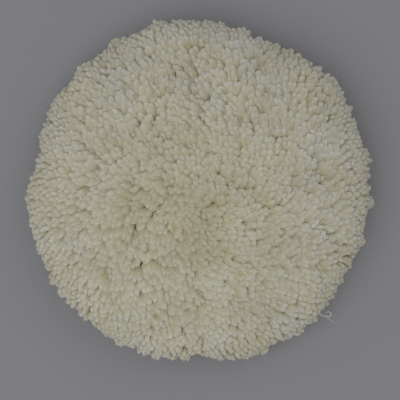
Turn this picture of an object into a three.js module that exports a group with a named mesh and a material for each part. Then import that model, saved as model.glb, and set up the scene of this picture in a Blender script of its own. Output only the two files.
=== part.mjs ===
// A tufted wool polishing pad, lying on its back with the pile up.
// It is built up from the back: a loop disc that grips a backing plate, a foam cushion, a fibre
// stiffener, and a dished tufting cloth whose rows of twisted yarn fan out into a domed face.
// Units are millimetres, +Z is up, and the origin is on the floor below the pad's centre.
import * as THREE from "three";

// ---- Driving dimensions ----

const PAD_RADIUS = 101.5; // reach of the wool: an 8 inch pad
const PAD_HEIGHT = 39.7;
const BELLY_HEIGHT = 11; // height at which the wool reaches furthest
const UNDERSIDE_DEPTH = 18; // half height of the outline below the belly, cut off by the floor
const OUTLINE_SQUARENESS = 2.8; // exponent of the outline: 2 is an ellipse, more is squarer
const OUTLINE_SWEEP = THREE.MathUtils.degToRad(131); // angle from the crown to the last row's tips

const GAP = 0.3; // clearance between touching layers
const LOOP_FACE_Z = 5.4; // the loop face is recessed this far above the floor
const LOOP_RADIUS = 75; // fits a 150 mm backing plate
const LOOP_THICKNESS = 1.5;
const FOAM_THICKNESS = 4.5;
const FOAM_TOP_RADIUS = 72.4; // the foam's upper edge is bevelled to clear the dished cloth
const FOAM_BEVEL = 2.5;
const STIFFENER_RADIUS = 68;
const STIFFENER_THICKNESS = 1.2;
const COAT_THICKNESS = 0.8;
const CLOTH_THICKNESS = 0.8;

const FLAT_RADIUS = 68; // flat middle of the tufting cloth
const BEND_RADIUS = 12.4; // outer radius of its rolled-down edge
const CLOTH_EDGE_ANGLE = THREE.MathUtils.degToRad(95); // how far the edge rolls round
const LAST_ROW_ANGLE = THREE.MathUtils.degToRad(78); // where on the roll the tufting stops

const BINDING_THICKNESS = 0.8;
const BINDING_START_ANGLE = THREE.MathUtils.degToRad(81); // top of both legs of the binding
const STITCH_OUTER_RADIUS = 70;
const STITCH_INNER_RADIUS = 26;
const THREAD_WIDTH = 1.4;
const THREAD_THICKNESS = 0.6;

const ROW_COUNT = 16;
const EVEN_FAN = 0.72; // share of the fan that is even over the face; the rest gathers at the rim
const YARN_STIFF_LENGTH = 11; // length over which a yarn still follows the cloth's normal
const ROW_SHOULDER = 0.93; // a row's side edges end this far along its height, so its top is round

const SEGMENTS = 32; // sides of every turned solid

// ---- Derived dimensions ----

const FOAM_Z = LOOP_FACE_Z + LOOP_THICKNESS + GAP;
const STIFFENER_Z = FOAM_Z + FOAM_THICKNESS + GAP;
const COAT_Z = STIFFENER_Z + STIFFENER_THICKNESS + GAP;
const CLOTH_TOP_Z = COAT_Z + COAT_THICKNESS + GAP + CLOTH_THICKNESS;
const BEND_CENTRE_Z = CLOTH_TOP_Z - BEND_RADIUS;
const CLOTH_INNER_BEND = BEND_RADIUS - CLOTH_THICKNESS;
const COAT_OUTER_BEND = CLOTH_INNER_BEND - GAP;
const COAT_INNER_BEND = COAT_OUTER_BEND - COAT_THICKNESS;
const TUFTED_LENGTH = FLAT_RADIUS + BEND_RADIUS * LAST_ROW_ANGLE;
const ROW_PITCH = TUFTED_LENGTH / (ROW_COUNT + 0.5);

// ---- Materials ----

const material = (color, roughness) => new THREE.MeshStandardMaterial({ color, roughness, metalness: 0 });
const WOOL = material(0xc9c4ae, 0.95);
const LOOP_FABRIC = material(0xb9b7ae, 0.9);
const FOAM = material(0x4a4c50, 0.95);
const FIBRE = material(0x8c7a5c, 0.85);
const LATEX = material(0xd9cfae, 0.6);
const CLOTH = material(0xd6d0be, 0.9);
const BINDING = material(0x8f8d86, 0.85);
const THREAD = material(0xe4e0d2, 0.7);

// ---- Profiles, as (radius, height) points ----

const point = (radius, height) => new THREE.Vector2(radius, height);

// A point on a surface rolled round the bend, at an angle from straight up.
function onBend(bendRadius, angle) {
  return point(FLAT_RADIUS + bendRadius * Math.sin(angle), BEND_CENTRE_Z + bendRadius * Math.cos(angle));
}

// Points along a bend, from one angle to another.
function bendArc(bendRadius, from, to, steps) {
  return Array.from({ length: steps + 1 }, (_, i) => onBend(bendRadius, from + ((to - from) * i) / steps));
}

// The outline that the yarn tips reach: a squared ellipse that the floor cuts off below.
class TipOutline extends THREE.Curve {
  getPoint(t, target = new THREE.Vector2()) {
    const angle = OUTLINE_SWEEP * t;
    const power = 2 / OUTLINE_SQUARENESS;
    const radius = PAD_RADIUS * Math.sin(angle) ** power;
    const rise = Math.sign(Math.cos(angle)) * Math.abs(Math.cos(angle)) ** power;
    const halfHeight = rise > 0 ? PAD_HEIGHT - BELLY_HEIGHT : UNDERSIDE_DEPTH;
    return target.set(radius, Math.max(0, BELLY_HEIGHT + halfHeight * rise));
  }
}
const tipOutline = new TipOutline();

// Where a yarn that is sewn in at a distance along the cloth has its tip.
function yarnTip(along) {
  const share = along / TUFTED_LENGTH;
  return tipOutline.getPointAt(Math.min(1, EVEN_FAN * share + (1 - EVEN_FAN) * share ** 3));
}

// A yarn leaves the cloth along its normal, then leans over to its tip.
function yarnCurve(along) {
  const angle = Math.max(0, (along - FLAT_RADIUS) / BEND_RADIUS);
  const normal = point(Math.sin(angle), Math.cos(angle));
  const onCloth = angle > 0 ? onBend(BEND_RADIUS, angle) : point(along, CLOTH_TOP_Z);
  const root = onCloth.addScaledVector(normal, GAP);
  const bend = root.clone().addScaledVector(normal, YARN_STIFF_LENGTH);
  return new THREE.QuadraticBezierCurve(root, bend, yarnTip(along));
}

// ---- Turned solids ----

// Turns a profile round Z. It runs anticlockwise, and ends on the axis or back at its start.
function turned(profile) {
  return new THREE.LatheGeometry(profile, SEGMENTS).rotateX(Math.PI / 2);
}

const closed = (profile) => turned([...profile, profile[0].clone()]);

function loopDisc() {
  const grooveTop = LOOP_FACE_Z + THREAD_THICKNESS + GAP;
  const groove = (radius) => {
    const inner = radius - THREAD_WIDTH / 2 - GAP;
    const outer = radius + THREAD_WIDTH / 2 + GAP;
    return [point(inner, LOOP_FACE_Z), point(inner, grooveTop), point(outer, grooveTop), point(outer, LOOP_FACE_Z)];
  };
  return turned([
    point(0, LOOP_FACE_Z),
    ...groove(STITCH_INNER_RADIUS),
    ...groove(STITCH_OUTER_RADIUS),
    point(LOOP_RADIUS, LOOP_FACE_Z),
    point(LOOP_RADIUS, LOOP_FACE_Z + LOOP_THICKNESS),
    point(0, LOOP_FACE_Z + LOOP_THICKNESS),
  ]);
}

// The run of a seam's thread, lying in its groove just inside the loop face.
function seamThread(radius) {
  const inner = radius - THREAD_WIDTH / 2;
  const outer = radius + THREAD_WIDTH / 2;
  const bottom = LOOP_FACE_Z + GAP / 2;
  const top = bottom + THREAD_THICKNESS;
  return closed([point(inner, bottom), point(outer, bottom), point(outer, top), point(inner, top)]);
}

function foamCushion() {
  const top = FOAM_Z + FOAM_THICKNESS;
  return turned([
    point(0, FOAM_Z),
    point(LOOP_RADIUS, FOAM_Z),
    point(LOOP_RADIUS, top - FOAM_BEVEL),
    point(FOAM_TOP_RADIUS, top),
    point(0, top),
  ]);
}

function fibreStiffener() {
  const top = STIFFENER_Z + STIFFENER_THICKNESS;
  return turned([
    point(0, STIFFENER_Z),
    point(STIFFENER_RADIUS, STIFFENER_Z),
    point(STIFFENER_RADIUS, top),
    point(0, top),
  ]);
}

// A flat disc whose edge rolls down round the bend, between two bend radii.
function dish(innerBend, outerBend) {
  const steps = 5;
  return turned([
    point(0, BEND_CENTRE_Z + innerBend),
    ...bendArc(innerBend, 0, CLOTH_EDGE_ANGLE, steps),
    ...bendArc(outerBend, CLOTH_EDGE_ANGLE, 0, steps),
    point(0, BEND_CENTRE_Z + outerBend),
  ]);
}

// A tape folded over the cut edge of the cloth and its coat, with a leg on each face.
function edgeBinding() {
  const innerFace = COAT_INNER_BEND - GAP;
  const outerFace = BEND_RADIUS + GAP;
  const foldAngle = CLOTH_EDGE_ANGLE + GAP / BEND_RADIUS;
  const endAngle = foldAngle + BINDING_THICKNESS / BEND_RADIUS;
  return closed([
    ...bendArc(innerFace - BINDING_THICKNESS, BINDING_START_ANGLE, endAngle, 2),
    ...bendArc(outerFace + BINDING_THICKNESS, endAngle, BINDING_START_ANGLE, 2),
    ...bendArc(outerFace, BINDING_START_ANGLE, foldAngle, 2),
    ...bendArc(innerFace, foldAngle, BINDING_START_ANGLE, 2),
  ]);
}

// The thread that holds the binding, along the middle of its inner leg.
function bindingStitch() {
  const outer = COAT_INNER_BEND - 2 * GAP - BINDING_THICKNESS;
  const middle = (BINDING_START_ANGLE + CLOTH_EDGE_ANGLE) / 2;
  const halfWidth = THREAD_WIDTH / 2 / outer;
  return closed([
    onBend(outer - THREAD_THICKNESS, middle - halfWidth),
    onBend(outer - THREAD_THICKNESS, middle + halfWidth),
    onBend(outer, middle + halfWidth),
    onBend(outer, middle - halfWidth),
  ]);
}

// One ring of cut yarn, between the yarns at its inner and outer edges.
function pileRow(index) {
  const middle = index * ROW_PITCH;
  const halfWidth = (ROW_PITCH - GAP) / 2;
  const inner = yarnCurve(middle - halfWidth);
  const outer = yarnCurve(middle + halfWidth);
  const levels = [0, ROW_SHOULDER / 2, ROW_SHOULDER];
  return closed([
    ...levels.map((level) => outer.getPoint(level)),
    yarnTip(middle),
    ...levels.toReversed().map((level) => inner.getPoint(level)),
  ]);
}

// The yarns at the very middle, which the first ring stands round.
function pileCentre() {
  const outer = yarnCurve((ROW_PITCH - GAP) / 2);
  const root = outer.getPoint(0);
  return turned([
    point(0, root.y),
    root,
    outer.getPoint(ROW_SHOULDER / 2),
    outer.getPoint(ROW_SHOULDER),
    point(0, PAD_HEIGHT),
  ]);
}

// ---- Assembly ----

const group = new THREE.Group();

function add(parent, name, geometry, meshMaterial) {
  const mesh = new THREE.Mesh(geometry, meshMaterial);
  mesh.name = name;
  parent.add(mesh);
}

const backing = new THREE.Group();
add(backing, "loop_disc", loopDisc(), LOOP_FABRIC);
add(backing, "loop_stitch_outer", seamThread(STITCH_OUTER_RADIUS), THREAD);
add(backing, "loop_stitch_inner", seamThread(STITCH_INNER_RADIUS), THREAD);
add(backing, "foam_cushion", foamCushion(), FOAM);
add(backing, "fibre_stiffener", fibreStiffener(), FIBRE);
add(backing, "latex_coat", dish(COAT_INNER_BEND, COAT_OUTER_BEND), LATEX);
add(backing, "tufting_cloth", dish(CLOTH_INNER_BEND, BEND_RADIUS), CLOTH);
add(backing, "edge_binding", edgeBinding(), BINDING);
add(backing, "binding_stitch", bindingStitch(), THREAD);
group.add(backing);

const pile = new THREE.Group();
add(pile, "pile_centre", pileCentre(), WOOL);
for (let row = 1; row <= ROW_COUNT; row += 1) {
  add(pile, `pile_row_${String(row).padStart(2, "0")}`, pileRow(row), WOOL);
}
group.add(pile);

export default group;
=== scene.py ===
"""The looks of a tufted wool polishing pad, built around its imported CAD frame.

Every yarn end of the pile is a twisted piece of geometry of its own, with wisps of loose fibre over it.
The yarn ends are set out evenly over the face, lean over in a slow swirl, gather into clumps and turn
straight outwards at the rim. Under the pile are its cloth, with a latex coat and a taped edge, a fibre
board, a foam layer and a loop fabric that is sewn on by two seams. Lengths are in millimetres until a mesh
is made.
"""

import math

import bpy
import numpy as np
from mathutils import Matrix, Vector

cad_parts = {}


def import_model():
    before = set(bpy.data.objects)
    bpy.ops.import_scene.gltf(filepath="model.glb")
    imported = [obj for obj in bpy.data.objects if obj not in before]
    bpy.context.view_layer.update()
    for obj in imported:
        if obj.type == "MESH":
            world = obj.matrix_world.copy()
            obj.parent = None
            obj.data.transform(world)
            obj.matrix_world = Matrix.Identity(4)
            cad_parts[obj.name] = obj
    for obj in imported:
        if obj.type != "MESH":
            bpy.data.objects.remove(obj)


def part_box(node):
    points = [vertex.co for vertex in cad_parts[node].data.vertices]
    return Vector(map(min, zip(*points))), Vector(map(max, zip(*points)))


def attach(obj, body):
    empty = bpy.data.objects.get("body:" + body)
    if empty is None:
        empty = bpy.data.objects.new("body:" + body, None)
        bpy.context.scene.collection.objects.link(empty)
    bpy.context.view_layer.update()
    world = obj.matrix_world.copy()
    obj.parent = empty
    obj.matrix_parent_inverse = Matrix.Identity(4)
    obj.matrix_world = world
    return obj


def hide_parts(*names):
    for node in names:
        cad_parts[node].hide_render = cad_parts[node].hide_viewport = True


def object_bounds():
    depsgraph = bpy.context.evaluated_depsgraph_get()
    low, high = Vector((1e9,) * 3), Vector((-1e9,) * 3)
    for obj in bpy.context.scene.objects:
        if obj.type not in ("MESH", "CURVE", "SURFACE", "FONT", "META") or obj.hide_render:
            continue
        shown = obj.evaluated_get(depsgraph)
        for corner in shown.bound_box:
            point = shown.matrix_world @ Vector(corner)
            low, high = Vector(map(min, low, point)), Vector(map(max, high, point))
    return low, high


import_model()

CAD_BOX = [list(corner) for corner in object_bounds()]
MM = 0.001
TURN = 2 * math.pi
rng = np.random.default_rng(20)

# ---- Dimensions, in millimetres ----

def cad_box(node):
    """A CAD node's lowest and highest corners, in millimetres."""
    return [np.array(corner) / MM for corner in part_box(node)]


# The outline that yarn tips reach, and the cloth that carries the yarns and rolls down round its edge.
PAD_HEIGHT = CAD_BOX[1][2] / MM
PAD_RADIUS = 101.5
BELLY_HEIGHT = 11.0
UNDERSIDE_DEPTH = 18.0
OUTLINE_SQUARENESS = 2.8
OUTLINE_SWEEP = math.radians(131)
CLOTH_HIGH = cad_box("tufting_cloth")[1]
CLOTH_TOP = CLOTH_HIGH[2]
BEND_RADIUS = 12.4
BEND_CENTRE = CLOTH_TOP - BEND_RADIUS
FLAT_RADIUS = CLOTH_HIGH[0] - BEND_RADIUS
LAST_ROW_ANGLE = math.radians(78)
EVEN_FAN = 0.72
ROW_COUNT = 16
TUFTED_LENGTH = FLAT_RADIUS + BEND_RADIUS * LAST_ROW_ANGLE
ROW_PITCH = TUFTED_LENGTH / (ROW_COUNT + 0.5)

# The rim's uneven outline: (azimuth in degrees, depth, half width in degrees).
PUCKERS = [(-90, 5.0, 8), (-30, 2.0, 13), (165, 3.0, 13), (75, 3.5, 10), (62, 4.0, 8), (125, 1.5, 12),
           (6, 1.0, 12), (235, 1.0, 14), (105, -1.0, 12)]
PUCKER_START = 55
PUCKER_WIDTH = 40

# How yarn ends are spread over the face. The push and its reach are in spacings.
ACROSS_SPACING = 3.0
ALONG_CENTRE = 3.05
ALONG_RIM = 4.2
SPREAD_STEPS = 24
NEIGHBOUR_STEPS = 6
NEIGHBOURS = 15
PUSH = 0.22
PUSH_REACH = 1.25
PLACE_JITTER = 0.5

# How high they stand and which way they point. Angles are in degrees.
HEIGHT_WAVE = 1.1
CLUMP_WAVE = 0.75
SIDE_CLUMPS = 1.3
HEIGHT_JITTER = 0.55
SIDE_JITTER = 0.8
JITTER_LIMITS = (-2, 1.3)
SIDE_INSET = 1.2
TIP_INSET = 0.3
SWIRL = 48
SWIRL_WAVE = 14
CALM_AZIMUTH = 148
CALM_WIDTH = 42
CALM_LOSS = 70
TILT_CENTRE = 42
TILT_FACE = 45
TILT_SIDE = 20
TILT_SPREAD = 0.2
HEADING_JITTER = 0.21
RIM_START = 76.0
RIM_WIDTH = 20.0
RIM_SWIRL = 0.2
LEAN = 9.0
CURVE_HANDLE = 0.36
BIG_PULL = 0.04
SMALL_PULL = 0.05
DRIFT = 0.9

# How deep the hollows between them are, how much painted shade darkens their colours there, and the olive
# patch's place.
RELIEF = 0.14
RELIEF_DEPTH = 4.5
RELIEF_FADE = 12
PAINTED_SHADE = 0.08
PAINTED_SHADE_START = 2.2
PAINTED_SHADE_END = 5.0
DEPTH_RANGE = 12
PATCH_PLACE = (-8, -12)

# The plies of a yarn. Levels go from its root, at 0, to its tip.
LEVELS = np.array([0.0, 0.48, 0.68, 0.79, 0.868, 0.92, 0.96, 0.988, 1.0])
RINGS = len(LEVELS) - 1
PLIES = 4
PLY_SIDES = 5
PLY_ANGLES = np.arange(PLY_SIDES) * TURN / PLY_SIDES
POINTS_PER_PLY = RINGS * PLY_SIDES + 1
PLY_RADIUS = 1.15
PLY_OFFSET = 0.52
HEAD_SWELL = 0.3
BED_SWELL = 0.8
BED_START = 1.8
BED_RISE = 3.0
BED_END = 12
BED_FALL = 6
RIM_BED_LOSS = 0.65
SWELL_PLACE = 3.6
SWELL_LENGTH = 2.8
SIDE_THINNING = 0.18
SIDE_BLUNTING = 0.5
HEAD_LENGTH = 3.2
HEAD_POWER = 0.55
TWIST_PITCH = 18.0
TWISTED_LENGTH = 10.0
# How far from a yarn's middle the painted shade of the creases between yarns begins, and how far beyond that
# it is full.
CREASE_SHADE_INNER = 0.95
CREASE_SHADE_WIDTH = 2.0 - CREASE_SHADE_INNER
STRAND_STEP = 7.31

# Wisps. Each has three corners round its base, three round its bend and one at its tip.
WISPS = 32
WISP_FACES = ((3, 4, 1, 0), (4, 5, 2, 1), (5, 3, 0, 2), (6, 4, 3), (6, 5, 4), (6, 3, 5), (0, 1, 2))
WISP_CORNERS = 7
RING_OF_CORNER = np.array([0, 0, 0, 1, 1, 1, 2])
WISP_HALF_WIDTH = 0.17
WISP_THICKNESS = 0.14
WISP_START = (2.5, 6.0)
WISP_END = (-0.8, 2.6)
WISP_OFFSET = 2.2
WISP_CLOSING = (0.15, 0.8)
WISP_FAN = 65
WISP_STRAY = np.array([0.1, 0.22, 0.45])[:, None]
WISP_STRAND_STEP = 3.17
# How much of the creases' painted shade the wisps take.
WISP_CREASE_SHADE = 0.1
DEEP_SHARE = 0.3
DEEP_START = (5.0, 11.0)
DEEP_LENGTH = (2.5, 4.5)
DEEP_CLOSING = (0.8, 1.1)
RIM_TIDINESS = 0.75

# The ply that hangs out of the rim, and single fibres that stand out of the pile.
CURL_PLACE = (76.2, -72.5)
CURL_HEIGHT = 9.0
CURL_RADIUS = 1.5
CURL_THICKNESS = 0.45
STRAYS = 140
STRAY_ROOT = 3
STRAY_THICKNESS = 0.07

# The layers under the pile.
LOOP_LOW, LOOP_HIGH = cad_box("loop_disc")
LOOP_DISC_RADIUS = LOOP_HIGH[0]
LOOP_FACE = LOOP_LOW[2]
LOOP_DISC_THICKNESS = LOOP_HIGH[2] - LOOP_LOW[2]
SEAM_RADII = (26.0, 70.0)
GROOVE_HALF_WIDTH = 1.0
GROOVE_DEPTH = 0.9
SEAM_HEIGHT = LOOP_FACE + 0.42
NAP_SPACING = 1.65
NAP_THICKNESS = 0.16
FOAM_BOX = cad_box("foam_cushion")
FOAM_LOW, FOAM_HIGH = (corner[2] for corner in FOAM_BOX)
FOAM_RADIUS = FOAM_BOX[1][0]
PORE_PITCH = 0.9
COAT_INNER_BEND, COAT_OUTER_BEND = 10.5, 11.3
CLOTH_INNER_BEND = 11.6
DISH_EDGE_ANGLE = math.radians(95)
WEAVE_PITCH = 0.8
TAPE_INNER_BEND, TAPE_OUTER_BEND = 9.8, 13.1
TAPE_THICKNESS = 0.8
TAPE_START_ANGLE = math.radians(81)
TAPE_FOLD_ANGLE = math.radians(96.4)
TAPE_FOLD_DEPTH = 0.45
TAPE_SEGMENTS = 480
TAPE_RADIUS = 78
TAPE_RIPPLE = 0.05
TAPE_OVERLAP = 9.0
OVERLAP_PLACE = 2.0
TWILL_PITCH = 0.9
SEAM_BEND = 8.95
SEAM_ANGLE = math.radians(88)
STITCH = 3.2
STITCH_STEPS = 10
STITCH_SLANT = 0.3
STITCH_TURN = 0.08
THREAD_SIDES = 12
THREAD_RADIUS = 0.42
THREAD_PITCH = 2.6


# ---- The pile's shape ----

def outline(angle):
    """The (radius, height) that yarn tips reach, by the angle swept from the crown."""
    power = 2 / OUTLINE_SQUARENESS
    radius = PAD_RADIUS * np.sin(angle) ** power
    rise = np.sign(np.cos(angle)) * np.abs(np.cos(angle)) ** power
    half_height = np.where(rise > 0, PAD_HEIGHT - BELLY_HEIGHT, UNDERSIDE_DEPTH)
    return radius, np.maximum(0, BELLY_HEIGHT + half_height * rise)


OUTLINE_ANGLES = np.linspace(0, OUTLINE_SWEEP, 800)
OUTLINE_R, OUTLINE_Z = outline(OUTLINE_ANGLES)
OUTLINE_LENGTHS = np.concatenate([[0], np.cumsum(np.hypot(np.diff(OUTLINE_R), np.diff(OUTLINE_Z)))])
OUTLINE_LENGTH = OUTLINE_LENGTHS[-1]


def tip_at(length):
    """The (radius, height) at a length along the outline from the crown."""
    return np.interp(length, OUTLINE_LENGTHS, OUTLINE_R), np.interp(length, OUTLINE_LENGTHS, OUTLINE_Z)


FAN_SHARES = np.linspace(0, 1, 400)
FAN_LENGTHS = OUTLINE_LENGTH * (EVEN_FAN * FAN_SHARES + (1 - EVEN_FAN) * FAN_SHARES**3)


def along_cloth(tip_length):
    """Where on the cloth a yarn is sewn in, by where its tip is along the outline."""
    return TUFTED_LENGTH * np.interp(tip_length, FAN_LENGTHS, FAN_SHARES)


def root_at(along):
    """The (radius, height) and the (radial, upward) normal at a length along the cloth."""
    angle = np.maximum(0, (along - FLAT_RADIUS) / BEND_RADIUS)
    radial, upward = np.sin(angle), np.cos(angle)
    radius = np.minimum(along, FLAT_RADIUS) + BEND_RADIUS * radial
    height = CLOTH_TOP - BEND_RADIUS * (1 - upward)
    return radius, height, radial, upward


def share(value, start, width):
    """How far a value is past a start, from 0 there to 1 at a width beyond it."""
    return np.clip((value - start) / width, 0, 1)


def smooth_noise(x, y, wavelength, seed, waves=9):
    """A smooth random field over the face, about -1 to 1, from a few waves in random directions."""
    source = np.random.default_rng(seed)
    total = np.zeros_like(x)
    for _ in range(waves):
        heading = source.uniform(0, TURN)
        stretch = source.uniform(0.75, 1.5)
        phase = source.uniform(0, TURN)
        reach = x * math.cos(heading) + y * math.sin(heading)
        total += np.sin(reach * TURN * stretch / wavelength + phase)
    return total / math.sqrt(waves)


def pucker_depth(azimuth, radius):
    """How far in the rim's uneven outline moves a point of the pile."""
    depth = np.zeros_like(azimuth)
    for centre, deepest, half_width in PUCKERS:
        away = (np.degrees(azimuth) - centre + 180) % 360 - 180
        depth += deepest * np.exp(-((away / half_width) ** 2))
    return depth * share(radius, PUCKER_START, PUCKER_WIDTH) ** 1.5


def unit(v):
    return v / np.maximum(np.linalg.norm(v, axis=-1, keepdims=True), 1e-9)


def stacked(*parts):
    """Vectors from their three parts, which may be single numbers."""
    return np.stack(np.broadcast_arrays(*parts), axis=-1)


def polar(radial, tangential, upward, azimuth):
    """Vectors from their outward, anticlockwise and upward parts at an azimuth."""
    c, s = np.cos(azimuth), np.sin(azimuth)
    return stacked(radial * c - tangential * s, radial * s + tangential * c, upward)


def outline_normal(length):
    """The outline's outward normal, as its (radial, upward) parts."""
    r0, z0 = tip_at(np.maximum(0, length - 1))
    r1, z1 = tip_at(np.minimum(OUTLINE_LENGTH, length + 1))
    along = unit(np.stack([r1 - r0, z1 - z0], axis=-1))
    return -along[:, 1], along[:, 0]


def swirl(azimuth, x, y):
    """The direction that the yarn ends lie in, as an anticlockwise angle from straight outwards."""
    away = (np.degrees(azimuth) - CALM_AZIMUTH + 180) % 360 - 180
    calm = CALM_LOSS * np.exp(-((away / CALM_WIDTH) ** 2))
    turn = np.radians(SWIRL - calm + SWIRL_WAVE * smooth_noise(x, y, 55, 12))
    return turn * (1 - (1 - RIM_SWIRL) * share(np.hypot(x, y), RIM_START, RIM_WIDTH))


def lie_frame(length, azimuth):
    """The pile's normal at tips, the way that the ends lie, the way across them, and the swirl's angle."""
    radius, _ = tip_at(length)
    normal_r, normal_z = outline_normal(length)
    turn = swirl(azimuth, radius * np.cos(azimuth), radius * np.sin(azimuth))
    normal = polar(normal_r, 0, normal_z, azimuth)
    lying = polar(normal_z * np.cos(turn), np.sin(turn), -normal_r * np.cos(turn), azimuth)
    return normal, lying, np.cross(normal, lying), turn


def along_spacing(radius):
    return ALONG_CENTRE + (ALONG_RIM - ALONG_CENTRE) * np.clip(radius / PAD_RADIUS, 0, 1)


def lay_out_yarns():
    """The place of each yarn end: where its tip is along the outline, and its azimuth.

    The ends start evenly spread by the golden angle, as seeds are in a sunflower, then push each other
    apart until they sit closer across the way that they lie than along it."""
    ring_areas = TURN * OUTLINE_R[1:] * np.diff(OUTLINE_LENGTHS)
    yarns = np.concatenate([[0], np.cumsum(ring_areas / (ACROSS_SPACING * along_spacing(OUTLINE_R[1:])))])
    count = int(yarns[-1])
    length = np.interp(np.arange(count) + 0.5, yarns, OUTLINE_LENGTHS)
    azimuth = np.arange(count) * math.pi * (3 - math.sqrt(5)) % TURN
    for step in range(SPREAD_STEPS):
        radius, height = tip_at(length)
        place = polar(radius, 0, height, azimuth)
        if step % NEIGHBOUR_STEPS == 0:
            apart = np.einsum("ij,ij->i", place, place)
            apart = apart[:, None] + apart[None] - 2 * place @ place.T
            near = np.argpartition(apart, NEIGHBOURS, axis=1)[:, :NEIGHBOURS]
        _, lying, crossing, turn = lie_frame(length, azimuth)
        gap = place[:, None] - place[near]
        pitch = along_spacing(radius)
        along = np.einsum("nkc,nc->nk", gap, lying) / pitch[:, None]
        across = np.einsum("nkc,nc->nk", gap, crossing) / ACROSS_SPACING
        distance = np.hypot(along, across)
        closeness = np.clip(PUSH_REACH - distance, 0, 1) / np.maximum(distance, 1e-6)
        push = np.where(distance > 1e-6, closeness, 0) * PUSH
        move_along = (push * along).sum(1) * pitch
        move_across = (push * across).sum(1) * ACROSS_SPACING
        outward = move_along * np.cos(turn) - move_across * np.sin(turn)
        sideways = move_along * np.sin(turn) + move_across * np.cos(turn)
        length = np.clip(length + np.clip(outward, -1, 1), 0.3, OUTLINE_LENGTH)
        azimuth = azimuth + np.clip(sideways, -1, 1) / np.maximum(radius, 2)
    radius, _ = tip_at(length)
    length = length + rng.normal(0, PLACE_JITTER, count)
    azimuth = azimuth + rng.normal(0, PLACE_JITTER, count) / np.maximum(radius, 2)
    return np.clip(length, 0, OUTLINE_LENGTH), azimuth % TURN


tip_length, azimuth = lay_out_yarns()
COUNT = len(tip_length)


def gather(x, y, cell, pull, seed):
    """How far points on the face move to be nearer the middle of the clump that they belong to."""
    source = np.random.default_rng(seed)
    steps = np.arange(-PAD_RADIUS - cell, PAD_RADIUS + cell, cell)
    gx, gy = (g.ravel() + source.uniform(-0.42, 0.42, g.size) * cell for g in np.meshgrid(steps, steps))
    nearest = np.argmin((x[:, None] - gx) ** 2 + (y[:, None] - gy) ** 2, axis=1)
    strength = pull * source.uniform(0.2, 1.6, gx.size)[nearest]
    return (gx[nearest] - x) * strength, (gy[nearest] - y) * strength


def tip_pulls(x, y):
    """How far each tip moves over the face: into its clumps, and with slow waves."""
    big_x, big_y = gather(x, y, 22, BIG_PULL, 3)
    small_x, small_y = gather(x, y, 10, SMALL_PULL, 4)
    wave_x = DRIFT * smooth_noise(x, y, 34, 5)
    wave_y = DRIFT * smooth_noise(x, y, 34, 6)
    return np.stack([big_x + small_x + wave_x, big_y + small_y + wave_y, np.zeros(COUNT)], axis=1)


def tip_heights(x, y, side):
    """How far each tip stands out of the outline."""
    jitter = np.clip(rng.normal(0, 1, COUNT), *JITTER_LIMITS)
    jitter = jitter * (HEIGHT_JITTER + (SIDE_JITTER - HEIGHT_JITTER) * side)
    clumps = CLUMP_WAVE * smooth_noise(x, y, 11, 8) + SIDE_CLUMPS * side * smooth_noise(x, y, 9, 9)
    return HEIGHT_WAVE * smooth_noise(x, y, 26, 7) + clumps + jitter - SIDE_INSET * side


def tip_headings(tip_r, normal, lying, pull, side, rim):
    """The way each yarn's end points."""
    tilt = TILT_CENTRE + (TILT_FACE - TILT_CENTRE) * np.clip(tip_r / 50, 0, 1)
    tilt = np.radians(tilt + (TILT_SIDE - tilt) * side)
    tilt = tilt * rng.uniform(1 - TILT_SPREAD, 1 + TILT_SPREAD, COUNT)
    heading = normal * np.cos(tilt)[:, None] + lying * np.sin(tilt)[:, None]
    jitter = rng.normal(0, HEADING_JITTER, (COUNT, 3)) * (1 - 0.5 * rim[:, None])
    return unit(heading + pull * 0.13 + jitter)


def yarn_curves():
    """The four control points of each yarn's centre line, the way its end points, and the pile's normal.

    With them comes how far each yarn belongs to the rim, from 0 to 1."""
    tip_r, tip_z = tip_at(tip_length)
    tip_r = tip_r - pucker_depth(azimuth, tip_r)
    x, y = tip_r * np.cos(azimuth), tip_r * np.sin(azimuth)
    pull = tip_pulls(x, y)
    normal, lying, _, turn = lie_frame(tip_length, azimuth)
    side = np.clip((0.75 - normal[:, 2]) / 0.5, 0, 1)
    rim = np.maximum(side, share(tip_r, RIM_START, RIM_WIDTH))
    height = tip_heights(x, y, side)
    heading = tip_headings(tip_r, normal, lying, pull, side, rim)
    tip = np.stack([x, y, tip_z], axis=1) + pull + normal * (height - TIP_INSET)[:, None]
    tip[:, 2] = np.maximum(PLY_RADIUS * 1.6, tip[:, 2])
    root_r, root_z, root_radial, root_up = root_at(along_cloth(tip_length))
    root_azimuth = azimuth - LEAN * np.sin(turn) * np.clip(tip_r / 40, 0.3, 1) / np.maximum(tip_r, 12)
    root = polar(root_r, 0, root_z, root_azimuth)
    root_normal = polar(root_radial, 0, root_up, root_azimuth)
    reach = np.linalg.norm(tip - root, axis=1)[:, None]
    leaving = root + root_normal * reach * CURVE_HANDLE
    arriving = tip - heading * reach * CURVE_HANDLE
    return np.stack([root, leaving, arriving, tip], axis=1), heading, normal, rim


def cubic_weights(t, axis):
    """How much each of a cubic curve's four control points counts at t."""
    return np.stack([(1 - t) ** 3, 3 * t * (1 - t) ** 2, 3 * t**2 * (1 - t), t**3], axis=axis)


def ply_angles(below):
    """The angle of each ply round its yarn, which the twist turns."""
    twist = np.minimum(below, TWISTED_LENGTH) / TWIST_PITCH * TURN
    turn = rng.uniform(0, TURN, COUNT)[:, None] - twist
    psi = turn[:, None] + (np.arange(PLIES) * TURN / PLIES)[None, :, None]
    return psi + rng.normal(0, 0.22, (COUNT, PLIES))[:, :, None]


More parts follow.
